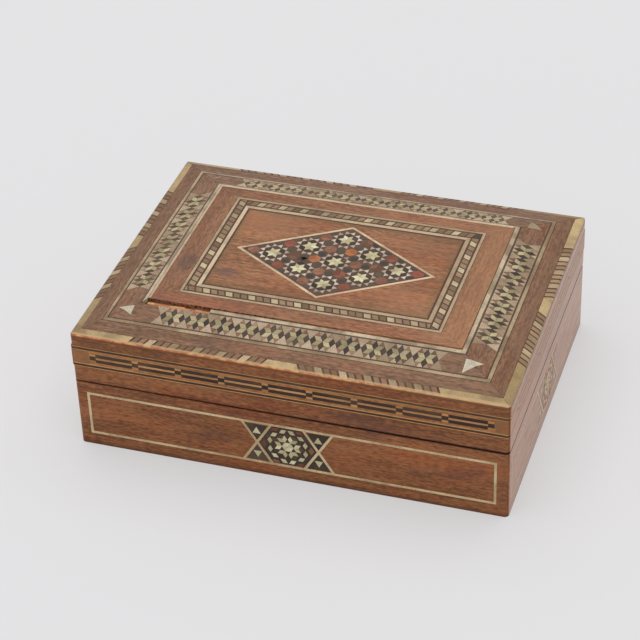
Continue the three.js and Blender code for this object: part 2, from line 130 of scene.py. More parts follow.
def between(value, low, high, soft):
    """1 between low and high, with soft edges outside them."""
    return rise(value, low - soft, low) * rise(value, high + soft, high)


def noise(place, lump, detail, seed):
    """Noise about 0.5 whose lumps are that many millimetres long, in X, Y and Z or every way alike."""
    lengths = lump if isinstance(lump, tuple) else (lump, lump, lump)
    shrunk = place.add("VectorMath", {"operation": "DIVIDE"}, {0: place, 1: lengths})
    sockets = {"Vector": shrunk, "W": seed, "Scale": 1.0, "Detail": detail}
    return place.add("TexNoise", {"noise_dimensions": "4D"}, sockets)


def mixed(share, first, second, blend="MIX"):
    """Two colours mixed, or the second laid over the first. A Mix node's colour sockets go by number."""
    settings = {"data_type": "RGBA", "blend_type": blend}
    return share.add("Mix", settings, {0: share, 6: first, 7: second}, 2)


def darkened(colour, share):
    return (*(part * share for part in colour[:3]), 1.0)


def timber(place, deep, pale, seed, pores=0.35, patches=0.7):
    """Colour and height of wood with fibres along X: figure, streaks, fibres, pores, patches of hue."""
    figure = noise(place, (70.0, 9.0, 9.0), 3.0, seed)
    streaks = noise(place, (14.0, 1.2, 1.2), 3.0, seed + 1.0)
    fibres = noise(place, (2.4, 0.6, 0.6), 2.0, seed + 2.0)
    pits = rise(noise(place, (2.6, 0.5, 0.5), 1.0, seed + 3.0), 0.56, 0.7)
    shade = figure * 0.24 + streaks * 0.3 + fibres * 0.46
    colour = mixed(rise(shade, 0.38, 0.62), deep, pale)
    hue = noise(place, (34.0, 12.0, 12.0), 3.0, seed + 4.0)
    warmer, colder = (1.08, 0.86, 0.74, 1.0), (0.86, 0.88, 0.8, 1.0)
    colour = mixed(rise(hue, 0.5, 0.64) * patches, colour, warmer, "MULTIPLY")
    colour = mixed(rise(hue, 0.47, 0.34) * patches, colour, colder, "MULTIPLY")
    colour = mixed(pits * pores, colour, darkened(deep, 0.3))
    return colour, fibres * 0.5 - pits


# Half the box's length and half its depth
BOX = (80.0, 60.0)


def polished(place, colour, height, roughness, depth=0.00006):
    """The shader's sockets for a rubbed surface with small relief. Old wax veils the box's two ends."""
    bump = height.add("Bump", {}, {"Strength": 0.6, "Distance": depth, "Height": height})
    x, _, z = parts(place)
    at_end, below_arris = rise(abs(x), BOX[0] - 0.15, BOX[0] - 0.03), rise(z, 48.5, 48.2)
    wax = at_end * below_arris
    colour = mixed(wax * 0.44, colour, tone(192, 124, 68))
    sockets = {"Base Color": colour, "Roughness": roughness, "Normal": bump, "Specular IOR Level": 0.25}
    return sockets | {"Coat Weight": wax * 0.6, "Coat Roughness": 0.25}


def dress(names, material):
    """Gives CAD nodes their material."""
    for name in names:
        for slot in nodes[name].material_slots:
            slot.material = material


SIDES = {"front": 0, "right": 90, "back": 180, "left": 270}
ENDS = ("right", "left")


def level(name, recipe, seeds):
    """A finish for each side of the box, made from the axes' order that lays the fibres along that side."""
    along = finish(f"{name}_along", recipe((0, 1, 2), seeds[0]))
    across = finish(f"{name}_across", recipe((1, 0, 2), seeds[1]))
    return {side: across if side in ENDS else along for side in SIDES}


def carcass_recipe(order, seed):
    def recipe(place):
        colour, height = timber(turned(place, order), tone(150, 98, 58), tone(190, 134, 82), seed)
        blotch = rise(noise(place, 14.0, 3.0, seed + 5.0), 0.5, 0.72)
        colour = mixed(blotch * 0.35, colour, tone(104, 66, 42))
        # Painted shade: the groove's floor on the lid's top board is darkened as if shaded by the field's
        # rim.
        groove_shade = rise(parts(place)[2], 49.0, 49.4)
        colour = mixed(groove_shade * 0.9, colour, tone(58, 34, 22))
        return polished(place, colour, height, 0.62 + 0.1 * blotch)

    return recipe


carcass = level("carcass", carcass_recipe, (3.0, 3.0))
for side in SIDES:
    dress([f"base_{side}_wall", f"lid_{side}_rail"], carcass[side])
dress(["base_bottom_board", "lid_top_board"], carcass["front"])


# Side veneers: sawn mahogany-like veneer, reddish brown, 1.2 mm thick, glued on with its fibres lying
# level round the box, and darkened along the foot, with painted shade along the seam under the lid, deepest
# to the right.
def veneer_recipe(order, seed):
    def recipe(place):
        colour, height = timber(turned(place, order), tone(106, 61, 34), tone(162, 104, 62), seed)
        x, _, z = parts(place)
        stain = rise(noise(place, (26.0, 26.0, 9.0), 3.0, seed + 5.0), 0.54, 0.74)
        colour = mixed(stain * 0.5, colour, tone(84, 52, 46))
        ragged = noise(place, (3.5, 3.5, 0.9), 2.0, seed + 6.0)
        foot = rise(z + ragged * 1.6, 3.0, 1.0)
        colour = mixed(foot * 0.6, colour, tone(66, 38, 22))
        # Painted shade: a dark band along the seam under the lid, stronger towards the right end.
        seam_shade = between(z + (ragged - 0.5) * 0.8, 27.9, 28.8, 0.3)
        share_by_place = rise(x, -70.0, 40.0) * 0.6 + 0.2
        colour = mixed(seam_shade * share_by_place, colour, tone(52, 24, 16))
        worn = rise(noise(place, (11.0, 11.0, 4.0), 4.0, seed + 7.0), 0.5, 0.7)
        return polished(place, colour, height, 0.36 + 0.14 * worn)

    return recipe


side_veneer = level("side_veneer", veneer_recipe, (20.0, 31.0))
for side in SIDES:
    dress([f"base_{side}_veneer", f"lid_{side}_veneer"], side_veneer[side])


# Strings: square sticks of pale fruitwood let in flush, yellowed and dirty in the joints. The lid's
# outer and thick strings are laid between thin black lines. The thick one has lost 28.5 mm at its front
# left corner, and stands as high as the field at the left and back.
def string_recipe(seed, deep, pale, lines=()):
    """Each line is black, along a ring given by its inner half sizes and its width."""

    def recipe(place):
        stretch = noise(place, 9.0, 4.0, seed)
        colour = mixed(rise(stretch, 0.36, 0.64), deep, pale)
        specks = rise(noise(place, 1.0, 3.0, seed + 1.0), 0.52, 0.7)
        colour = mixed(specks * 0.45, colour, tone(118, 88, 60))
        height = noise(place, 0.7, 2.0, seed + 2.0)
        x, y, _ = parts(place)
        for half_x, half_y, width in lines:
            past = x.maths("MAXIMUM", abs(x) - half_x, abs(y) - half_y)
            colour = mixed(between(past, 0.05, width - 0.05, 0.06) * 0.85, colour, tone(58, 42, 32))
        return polished(place, colour, height, 0.4 + 0.12 * specks)

    return recipe


INLAID = ("front", "right", "left")
side_string = finish("side_string", string_recipe(40.0, tone(180, 154, 114), tone(216, 192, 150)))
dress([f"base_{side}_string_frame" for side in INLAID], side_string)
diamond_string = finish("diamond_string", string_recipe(42.0, tone(188, 157, 124), tone(226, 198, 163)))
dress(["lid_diamond_string"], diamond_string)
# Rings on the lid, each by its outer edge's half sizes in X and Y, and the height of the field's flat top
MARQUETRY, THICK_STRING, FIELD = (69.0, 49.5), (59.85, 41.05), (57.75, 38.95)
FIELD_TOP = 53.9
outer_lines = ((*MARQUETRY, 0.45), (70.6, 51.1, 0.2))
outer_recipe = string_recipe(44.0, tone(134, 110, 82), tone(180, 156, 122), outer_lines)
dress(["lid_outer_string"], finish("outer_string", outer_recipe))
thick_lines = ((59.3, 40.5, 0.55), (*FIELD, 0.2))
thick_recipe = string_recipe(48.0, tone(146, 126, 100), tone(206, 186, 154), thick_lines)
thick_string = finish("thick_string", thick_recipe)


def piece(name, mesh, materials, body):
    """Makes a finished mesh a piece of the box that rides on a body."""
    data = bpy.data.meshes.new(name)
    mesh.to_mesh(data)
    mesh.free()
    for material in materials:
        data.materials.append(material)
    made = bpy.data.objects.new(name, data)
    bpy.context.scene.collection.objects.link(made)
    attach(made, body)
    return made


def merged(node):
    """A copy of a CAD solid whose faces share their corners."""
    mesh = bmesh.new()
    mesh.from_mesh(nodes[node].data)
    bmesh.ops.remove_doubles(mesh, verts=mesh.verts[:], dist=1e-7)
    return mesh


def broken_string():
    """The thick string, broken off further along than its solid, with its inner edge lifted to the field."""
    mesh = merged("lid_thick_string")
    solid_end, shown_end = -0.03385, -0.03135

    def at_break(vertex):
        return abs(vertex.co.x - solid_end) < 0.0002 and vertex.co.y < -0.03

    stub = [face for face in mesh.faces if any(at_break(vertex) for vertex in face.verts)]
    region = set(stub)
    for face in stub:
        region.update(face.edges)
        region.update(face.verts)
    bmesh.ops.bisect_plane(
        mesh, geom=list(region), plane_co=(shown_end, 0, 0), plane_no=(1, 0, 0.3), clear_inner=True
    )
    bmesh.ops.holes_fill(mesh, edges=[edge for edge in mesh.edges if edge.is_boundary], sides=8)
    for vertex in mesh.verts:
        x, y, z = vertex.co * 1000
        at_field = max(abs(x) - FIELD[0], abs(y) - FIELD[1]) < 0.1
        at_left_or_back = x < 0.15 - FIELD[0] or y > FIELD[1] - 0.15
        on_top = z > 53.2
        if at_field and at_left_or_back and on_top:
            vertex.co.z = (FIELD_TOP - 0.02) / 1000
    bmesh.ops.recalc_face_normals(mesh, faces=mesh.faces[:])
    made = piece("lid_thick_string_broken", mesh, [thick_string], "lid")
    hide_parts("lid_thick_string")


broken_string()


# Marquetry woods: thin slips of lemon wood, box, walnut, padouk and blackened pear, with some bone.
# Every slip is a separate tile, glued side by side on a flat sheet and rubbed down level.
def slip_recipe(deep, pale, seed, lump):
    """A slip's wood, as deep or pale as the tile's own shade, with veins of that lump and some grime."""

    def recipe(place):
        own = place.add("Attribute", {"attribute_name": "shade"}, {}, "Fac")
        colour = mixed(own, deep, pale)
        veins = noise(place, lump, 3.0, seed)
        colour = mixed(rise(veins, 0.48, 0.75) * 0.6, colour, darkened(deep, 0.5))
        grime = rise(noise(place, 6.0, 4.0, seed + 0.5), 0.46, 0.72)
        colour = mixed(grime * 0.4, colour, tone(110, 84, 58))
        return polished(place, colour, veins, 0.42 + 0.12 * veins)

    return recipe


FINE, LONG = 0.5, (2.2, 0.4, 0.4)
SLIP_COLOURS = {
    "lemon": (tone(184, 171, 130), tone(235, 225, 186), FINE),
    "cream": (tone(148, 134, 100), tone(198, 182, 140), FINE),
    "buff": (tone(148, 126, 100), tone(194, 172, 144), FINE),
    "bone": (tone(158, 138, 104), tone(208, 188, 150), FINE),
    "white": (tone(172, 152, 132), tone(218, 202, 184), FINE),
    "pearl": (tone(184, 174, 148), tone(228, 220, 198), FINE),
    "rose": (tone(132, 98, 74), tone(172, 138, 108), LONG),
    "olive": (tone(112, 88, 60), tone(156, 128, 92), LONG),
    "torn": (tone(190, 110, 60), tone(236, 170, 106), LONG),
    "black": (tone(50, 40, 32), tone(84, 68, 54), LONG),
    "ebony": (tone(46, 30, 24), tone(74, 52, 40), LONG),
    "walnut": (tone(92, 62, 44), tone(132, 94, 68), LONG),
    "padouk": (tone(112, 62, 44), tone(152, 88, 64), LONG),
    "red": (tone(132, 68, 52), tone(160, 88, 70), LONG),
    "orange": (tone(160, 92, 54), tone(194, 122, 74), LONG),
    "honey": (tone(128, 80, 46), tone(166, 112, 66), LONG),
    "straw": (tone(158, 114, 66), tone(200, 152, 96), LONG),
    "brick": (tone(126, 82, 62), tone(156, 106, 84), LONG),
    "grey": (tone(52, 50, 42), tone(92, 84, 68), LONG),
    # Dull: a paler black for the back and left marquetry, partly dirt and partly painted glare.
    "dull": (tone(74, 56, 40), tone(106, 84, 60), LONG),
    "string": (tone(176, 150, 120), tone(212, 188, 156), FINE),
    "russet": (tone(120, 92, 68), tone(166, 134, 106), LONG),
}
SLIPS = {}
for number, (wood, (deep, pale, lump)) in enumerate(SLIP_COLOURS.items()):
    SLIPS[wood] = finish(f"slip_{wood}", slip_recipe(deep, pale, 60.0 + number, lump))


draw = random.Random(11)


def sawn(mesh, point, normal, **cleared):
    """Cuts a whole mesh along a plane, and clears away the side that is asked for."""
    everything = mesh.verts[:] + mesh.edges[:] + mesh.faces[:]
    bmesh.ops.bisect_plane(mesh, geom=everything, plane_co=point, plane_no=normal, **cleared)


class Sheet:
    """Tiles laid flat in X and Y, in millimetres, each of its own wood and shade."""

    def __init__(self):
        self.mesh = bmesh.new()
        self.shade = self.mesh.faces.layers.float.new("shade")
        self.woods = []

    def tile(self, corners, centre, right, up, wood):
        """A regular tile drawn out so that its unit X and Y become the two arms."""
        rows = ((right[0], up[0], 0, centre[0]), (right[1], up[1], 0, centre[1]), (0, 0, 1, 0), (0, 0, 0, 1))
        ring = bmesh.ops.create_circle(
            self.mesh, cap_ends=True, radius=1, segments=corners, matrix=Matrix(rows)
        )
        face = ring["verts"][0].link_faces[0]
        face.normal_update()
        if face.normal.z < 0:
            face.normal_flip()
        if wood not in self.woods:
            self.woods.append(wood)
        face.material_index = self.woods.index(wood)
        face[self.shade] = draw.random()

    def lozenge(self, centre, right, up, wood):
        self.tile(4, centre, right, up, wood)

    def spoke(self, centre, angle, out, across, wood):
        """A lozenge that reaches that far along an angle in degrees, and that far across it."""
        c, s = math.cos(math.radians(angle)), math.sin(math.radians(angle))
        self.lozenge(centre, (out * c, out * s), (-across * s, across * c), wood)

    def bar(self, left, right, bottom, top, wood):
        """A rectangle, which is a lozenge whose arms reach its corners."""
        x, y = (right - left) / 2, (top - bottom) / 2
        self.lozenge(((left + right) / 2, (bottom + top) / 2), (x, y), (-x, y), wood)

    def triangle(self, tip, left, right, wood):
        centre = ((tip[0] + left[0] + right[0]) / 3, (tip[1] + left[1] + right[1]) / 3)
        base = ((right[0] - left[0]) / math.sqrt(3), (right[1] - left[1]) / math.sqrt(3))
        self.tile(3, centre, base, (tip[0] - centre[0], tip[1] - centre[1]), wood)

    def wedge(self, middle, apex, half_base, wood):
        """A triangle from the middle of its base to its apex, that wide to either side."""
        run, climb = apex[0] - middle[0], apex[1] - middle[1]
        share = half_base / math.hypot(run, climb)
        aside = (climb * share, -run * share)
        left = (middle[0] - aside[0], middle[1] - aside[1])
        self.triangle(apex, left, (middle[0] + aside[0], middle[1] + aside[1]), wood)

    def trim(self, point, outward):
        """Cuts off what lies beyond a line through the point."""
        sawn(self.mesh, (*point, 0), (*outward, 0), clear_outer=True)

    def rub(self, joint=0.05, proud=0.03, depth=0.4):
        """Opens the glue joints, and gives the tiles their thickness and their height above the ground."""
        rims = bmesh.ops.inset_individual(self.mesh, faces=self.mesh.faces[:], thickness=joint)
        bmesh.ops.delete(self.mesh, geom=rims["faces"], context="FACES")
        bmesh.ops.solidify(self.mesh, geom=self.mesh.faces[:], thickness=depth)
        lowest = min(vertex.co.z for vertex in self.mesh.verts)
        bmesh.ops.translate(self.mesh, verts=self.mesh.verts[:], vec=(0, 0, proud - depth - lowest))

    def lay(self, name, spot, body):
        """Sets a sheet that is rubbed down in its place on the box."""
        bmesh.ops.transform(self.mesh, verts=self.mesh.verts[:], matrix=Matrix.Scale(0.001, 4) @ spot)
        bmesh.ops.recalc_face_normals(self.mesh, faces=self.mesh.faces[:])
        return piece(name, self.mesh, [SLIPS[wood] for wood in self.woods], body)

    def glue(self, name, spot, body, slot, **rubbed):
        """Rubs the sheet down, and sets it in its place."""
        self.rub(**rubbed)
        return self.lay(name, spot, body)


# The roof's height at the foot of its four slopes, and how far it rises from there to the field's rim
ROOF_FOOT, ROOF_RISE = 48.6, 4.8


def span(side, ring):
    """Half the length of one side of a ring, and how far that side is from the box's middle."""
    return ring[::-1] if side in ENDS else ring


def facing(side):
    """Turns what is made for the front of the box to another side."""
    return Matrix.Rotation(math.radians(SIDES[side]), 4, "Z")


def on_face(side):
    """From a side's face, X along it, Y up and Z outwards, to the box."""
    _, reach = span(side, BOX)
    return facing(side) @ Matrix.Translation((0, -reach, 0)) @ Matrix.Rotation(math.pi / 2, 4, "X")


def on_roof(side, ring):
    """From the outer edge of a ring on the roof, X along it, Y inwards and Z up, to the box."""
    full, rim, edge = (span(side, outline)[1] for outline in (BOX, FIELD, ring))
    slope = Matrix.Identity(4)
    slope[2][1] = ROOF_RISE / (full - rim)
    height = ROOF_FOOT + (full - edge) * slope[2][1]
    return facing(side) @ Matrix.Translation((0, -edge, height)) @ slope


# Torn bed: where the thick string broke away its lowest fibres stayed glued in the groove, in splinters
# of bright fresh wood at different heights. The far half, under the field's rim, is dark walnut as painted
# shade.
def torn_bed():
    splinters = Sheet()
    left, end = -57.6, -31.4
    while left < end:
        right = min(left + 1.5 + 2.5 * draw.random(), end)
        cross = 1.2 + 0.3 * draw.random()
        splinters.bar(left, right, 0.05, cross, "torn")
        # Painted shade: dark walnut slips fill the far half of the bed, under the field's rim.
        splinters.bar(left, right, cross, 2.05, "walnut")
        left = right
    splinters.rub(joint=0.0, proud=-0.6, depth=0.55)
    for vertex in splinters.mesh.verts:
        on_top = vertex.co.z > -0.7
        if on_top:
            vertex.co.z += 0.25 * perlin.noise(vertex.co * 2.0) - 0.05
    splinters.lay("lid_torn_bed", on_roof("front", THICK_STRING), "lid")


torn_bed()


# Star panels: a hexagon of black wood in the middle of three sides of the base. Pale lozenges lie in
# it round a small hexagon, in a star of six chevrons and a ring of twelve. Beside it the strings cross,
# with a black triangle above and below each crossing, and a small pale one in each of these.
def around(centre, angle, out, across=0.0):
    """The place that far out from a centre along an angle in degrees, and that far to the left of it."""
    c, s = math.cos(math.radians(angle)), math.sin(math.radians(angle))
    return (centre[0] + out * c - across * s, centre[1] + out * s + across * c)


SIXTHS = range(0, 360, 60)


def star_panel(side):
    height, half, tip, top = 14.3, 8.0, 10.68, 5.66
    slant = tip - top
    plate = Sheet()
    plate.bar(-tip, tip, height - half, height + half, "black")
    for end in (-1, 1):
        for up in (-1, 1):
            plate.trim((end * tip, height), (end * half, up * slant))
    bed_name = f"base_{side}_star_panel_bed"
    bed = plate.glue(bed_name, on_face(side), "base", "ground", joint=0.0, proud=-0.05, depth=0.6)
    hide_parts(f"base_{side}_star_panel")
    tiles = Sheet()
    centre, small = (0, height), 1.9
    long, short = small * math.sqrt(3) / 2, small / 2
    hub, notch, twelve, aside, rim = 2.1, 5.0, 6.55, 1.93, 8.75
    for angle in SIXTHS:
        tiles.wedge(around(centre, angle + 30, 1.92), centre, 1.1, "lemon")
        for hand in (-1, 1):
            wing = around(centre, angle, hub + 0.75 * small, hand * long / 2)
            tiles.spoke(wing, angle + 30 * hand, long, short, "lemon")
            tiles.spoke(around(centre, angle, twelve, hand * aside), angle, 0.98, 1.6, "lemon")
        tiles.spoke(around(centre, angle, hub + 1.5 * small), angle, short, long, "black")
        tiles.spoke(around(centre, angle + 30, notch), angle + 30, long, short, "black")
        filler = "walnut" if angle % 180 == 0 else "padouk"
        tiles.spoke(around(centre, angle, rim), angle, 1.2, 2.0, filler)
    for up in (-1, 1):
        tiles.trim((0, height + up * (half - 0.15)), (0, up))
        for end in (-1, 1):
            tiles.trim((end * (tip - 0.3), height), (end * half, up * slant))
    tiles.glue(f"base_{side}_star_tiles", on_face(side), "base", "star", joint=0.06, proud=0.02)
    darts, points, crossing = Sheet(), Sheet(), 11.4
    for end in (-1, 1):
        for up in (-1, 1):
            x = end * crossing
            darts.wedge((x, height + up * 8.05), (x, height + up * 0.95), 4.42, "black")
            points.wedge((x, height + up * 3.95), (x, height + up * 6.85), 1.6, "lemon")
    darts.glue(f"base_{side}_dart_ground", on_face(side), "base", "ground", proud=0.015, depth=0.3)
    points.glue(f"base_{side}_dart_points", on_face(side), "base", "star", depth=0.3)


for side in INLAID:
    star_panel(side)


# Lid side bandings: bought banding of honey wood in long strips, with two black bars side by side in
# each length, a black square between the lengths, and a black line and a pale one along both edges.
def side_banding_recipe(order, seed):
    def recipe(place):
        along = turned(place, order)
        colour, height = timber(along, tone(136, 84, 46), tone(184, 126, 74), seed, pores=0.3, patches=0.5)
        return polished(place, colour, height, 0.4)

    return recipe


def side_banding(side, units, shift):
    """Lays that many lengths side by side, their middle that far to the right of the side's own."""
    length = span(side, BOX)[0] - 0.5
    height, unit, square, past = 39.4, 16.15, 1.2, 1.4
    strip = Sheet()
    for up in (-1, 1):
        for outer, inner, wood in ((4.45, 4.05, "straw"), (4.05, 3.2, "ebony"), (3.2, 2.75, "straw")):
            strip.bar(-length, length, *sorted((height + up * outer, height + up * inner)), wood)
    start = shift - units * unit / 2
    for number in range(units):
        left, right = start + number * unit + square, start + (number + 1) * unit - square
        strip.bar(left, right, height - 0.42, height + 0.42, "straw")
        for up in (-1, 1):
            black = height + up * 1.12
            strip.bar(left, right, black - 0.7, black + 0.7, "ebony")
    for number in range(units + 1):
        x = start + number * unit
        strip.bar(x - square, x + square, height - 0.85, height + 0.85, "ebony")
        for up in (-1, 1):
            strip.bar(x - 1.1, x + 1.1, *sorted((height + up * 0.9, height + up * 1.8)), "straw")
    for left, right in ((-length, start - past), (start + units * unit + past, length)):
        strip.bar(left, right, height - 2.7, height + 2.7, "honey")
    strip.glue(f"lid_{side}_banding_slips", on_face(side), "lid", "banding", joint=0.04)


banding = level("side_banding", side_banding_recipe, (52.0, 52.0))
for side, units, shift in (("front", 9, 0.8), ("right", 6, 0.0), ("left", 6, 0.0)):
    dress([f"lid_{side}_banding"], banding[side])
    side_banding(side, units, shift)


# Roof veneers: the mitred border, the four strips that carry the marquetry, and the field round the
# panel are the same brown wood, laid in slips whose fibres follow each side.
def mitred(place, ring, seed):
    """The place turned so that fibres follow the nearer side of a ring, and how near its mitre is."""
    x, y, _ = parts(place)
    to_mitre = (ring[0] - abs(x)) - (ring[1] - abs(y))
    shifted = {0: turned(place, (1, 0, 2)), 1: (300.0, seed, 0.0)}
    at_ends = place.add("VectorMath", {"operation": "ADD"}, shifted)
    settings = {"data_type": "VECTOR"}
    chosen = place.add("Mix", settings, {0: to_mitre < 0.0, 4: place, 5: at_ends}, 1)
    return chosen, abs(to_mitre)


def roof_recipe(deep, pale, seed, ring, joint_dark, extra=None):
    """Veneer mitred along a ring, with that dark a joint at its mitres. Extra lays old marks over it."""

    def recipe(place):
        along, to_mitre = mitred(place, ring, seed)
        colour, height = timber(along, deep, pale, seed, patches=0.5)
        smudge = rise(noise(place, 22.0, 3.0, seed + 5.0), 0.5, 0.72)
        colour = mixed(smudge * 0.3, colour, tone(98, 76, 62))
        joint = rise(to_mitre + noise(place, 4.0, 2.0, seed + 6.0) * 0.3, 0.4, 0.2)
        colour = mixed(joint * joint_dark, colour, tone(50, 36, 28))
        if extra:
            colour = extra(place, colour)
        worn = rise(noise(place, 12.0, 4.0, seed + 8.0), 0.45, 0.7)
        return polished(place, colour, height, 0.42 + 0.14 * worn)

    return recipe


def blot(place, middle, reach, seed):
    """1 in a ragged patch round a place on the roof, that many millimetres across to either side."""
    x, y, _ = parts(place)
    along, across = (x - middle[0]) * (1 / reach[0]), (y - middle[1]) * (1 / reach[1])
    ragged = noise(place, (7.0, 4.0, 4.0), 4.0, seed)
    return rise(along * along + across * across + ragged * 1.6, 1.8, 0.9)


def old_damage(place, colour):
    """A red flush beside the lost string, a dark line of crumbly glue and painted shade along the field's
    front rim, and the field darker towards the left end and lighter towards the right one.
    """
    x, y, _ = parts(place)
    flush = between(x, -60.0, -28.0, 14.0) * rise(y, -31.0, -38.0)
    colour = mixed(flush * 0.3, colour, tone(172, 100, 74))
    crumbs = noise(place, (1.0, 0.6, 1.0), 3.0, 87.0)
    # Painted shade of the field's raised front rim, over a ragged line of crumbly glue, fading out to the
    # right.
    torn = rise(y + crumbs * 1.2, -38.15, -38.45) * rise(x + crumbs * 25.0, 34.0, -12.0)
    colour = mixed(torn * 0.9, colour, tone(44, 26, 20))
    # Darker towards the left end and lighter towards the right one.
    colour = mixed(rise(x, -44.0, -56.0) * 0.35, colour, tone(106, 78, 60))
    colour = mixed(rise(x, 42.0, 54.0) * 0.3, colour, tone(184, 132, 90))
    stain = blot(place, (-51.5, -13.5), (4.5, 8.0), 88.0)
    return mixed(stain * 0.5, colour, tone(84, 68, 64))


def soiled_ends(place, colour):
    """The border is darker from handling at its two short sides."""
    x, _, _ = parts(place)
    return mixed(rise(abs(x), 68.0, 76.0) * 0.4, colour, tone(106, 74, 52))


border_recipe = roof_recipe(tone(104, 73, 53), tone(151, 113, 85), 70.0, BOX, 0.5, soiled_ends)
border_veneer = finish("border_veneer", border_recipe)
dress(["lid_border_veneer"], border_veneer)
strip_recipe = roof_recipe(tone(102, 72, 52), tone(146, 109, 82), 75.0, MARQUETRY, 0.1)
dress([f"lid_{side}_marquetry" for side in SIDES], finish("strip_veneer", strip_recipe))
field_recipe = roof_recipe(tone(118, 78, 54), tone(166, 119, 86), 80.0, FIELD, 0.4, old_damage)
dress(["lid_field_veneer"], finish("field_veneer", field_recipe))


# Edge bandings: glued-up blocks laid along the arris, lemon wood at the corners and mid-side and
# slanted stripes between. Each is the solid itself, sawn at the joints, so it keeps its worn round.
def edge_recipe(deep, pale, seed, lump):
    """A slip that is rubbed bare along the arris, widest at the front, and stained below it."""
    slip = slip_recipe(deep, pale, seed, lump)

    def recipe(place):
        sockets = slip(place)
        x, y, z = parts(place)
        ragged = noise(place, (5.0, 5.0, 1.0), 3.0, 97.0)
        front, others = 0.0 - y, x.maths("MAXIMUM", abs(x) - (BOX[0] - BOX[1]), y)
        bare_front = rise(front + ragged * 0.5, 59.6, 59.8)
        bare_others = rise(others + ragged * 0.4, 60.0, 60.15)
        bare = front.maths("MAXIMUM", bare_front, bare_others)
        grime = rise(noise(place, 5.0, 4.0, 99.0), 0.4, 0.62)
        share_by_place = rise(front, 50.0, 56.0) * rise(x, 66.0, 54.0) * 0.3 + 0.15
        dirty = grime * share_by_place + rise(x, -66.0, -74.0) * 0.2
        colour = mixed(dirty, sockets["Base Color"], tone(118, 92, 62))
        rubbed = rise(front + ragged * 0.6, 58.9, 59.4)
        colour = mixed(rubbed * 0.6, colour, tone(204, 170, 128))
        blush = rise(noise(place, (3.0, 3.0, 1.5), 3.0, 98.0), 0.42, 0.6)
        edge = mixed(blush, tone(178, 104, 62), tone(222, 158, 98))
        edge = mixed(rise(x, 25.0, 62.0) * 0.7, edge, tone(206, 174, 124))
        colour = mixed(bare * 0.85, colour, edge)
        under = rise(z + ragged * 0.3, 48.4, 48.2)
        return sockets | {"Base Color": mixed(under * 0.9, colour, tone(112, 66, 38))}

    return recipe


EDGE_WOODS = {
    "block": (tone(152, 128, 86), tone(202, 176, 128), FINE),
    "line": (tone(60, 36, 25), tone(88, 57, 40), LONG),
    "brown": (tone(120, 94, 68), tone(150, 122, 92), LONG),
    "red": (tone(126, 88, 64), tone(156, 116, 86), LONG),
    "pale": (tone(156, 132, 98), tone(202, 180, 142), FINE),
    "tan": (tone(142, 113, 84), tone(176, 145, 110), LONG),
}
EDGE_FINISHES = []
for number, (wood, (deep, pale, lump)) in enumerate(EDGE_WOODS.items()):
    EDGE_FINISHES.append(finish(f"edge_{wood}", edge_recipe(deep, pale, 91.0 + number, lump)))
EDGE_FINISHES.append(border_veneer)
STRIPES = (("line", 0.75), ("brown", 1.75), ("line", 0.75), ("red", 1.75), ("line", 0.75), ("pale", 2.5))
PERIOD = sum(width for _, width in STRIPES)


def edge_banding(side, corners, middle, lean, count, width=9.0):
    """Stripes run from the corner blocks to the middle block. Lean is their slant, width how much shows."""
    length, reach = span(side, BOX)
    mesh = merged(f"lid_{side}_edge_banding")
    to_front = facing(side).inverted() @ Matrix.Scale(1000, 4)
    bmesh.ops.transform(mesh, verts=mesh.verts[:], matrix=to_front)
    shade = mesh.faces.layers.float.new("shade")
    stripes = STRIPES * count
    ends = ((corners[0] - length, middle[0], lean), (middle[1], length - corners[1], -lean))
    runs = []
    for start, end, slant in ends:
        scale = (end - start) / (count * PERIOD - STRIPES[-1][1])
        runs.append((start, scale, slant))
    sawn(mesh, (0, width - reach, 0), (0, 1, 0))
    for start, scale, slant in runs:
        cut = start
        for _, wide in stripes:
            sawn(mesh, (cut, -reach, 0), (1, -slant, 0))
            cut += wide * scale
    own = [draw.random() for _ in range(2 * len(stripes) + 3)]
    for face in mesh.faces:
        centre = face.calc_center_median()
        wood, block = "block", (0 if centre.x < middle[0] else 1 if centre.x < middle[1] else 2)
        for run, (start, scale, slant) in enumerate(runs):
            left = (centre.x - slant * (centre.y + reach) - start) / scale
            for number, (kind, wide) in enumerate(stripes[:-1]):
                if 0 < left < wide:
                    wood, block = kind, 3 + number + run * len(stripes)
                    break
                left -= wide
        if side == "right" and wood in ("brown", "red"):
            wood = "tan"
        covered = centre.y + reach > width
        face.material_index = len(EDGE_WOODS) if covered else list(EDGE_WOODS).index(wood)
        face[shade] = own[block]
    bmesh.ops.transform(mesh, verts=mesh.verts[:], matrix=to_front.inverted())
    bmesh.ops.recalc_face_normals(mesh, faces=mesh.faces[:])
    made = piece(f"lid_{side}_edge_blocks", mesh, EDGE_FINISHES, "lid")
    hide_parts(f"lid_{side}_edge_banding")


edge_banding("front", (21.5, 24.0), (-8.8, 5.4), 0.55, 6)
edge_banding("right", (22.8, 21.6), (-6.4, 5.8), 0.5, 4)
edge_banding("back", (22.8, 22.2), (-9.4, 3.9), 0.55, 6, 2.4)
edge_banding("left", (22.6, 21.7), (-5.8, 4.7), 0.55, 4)


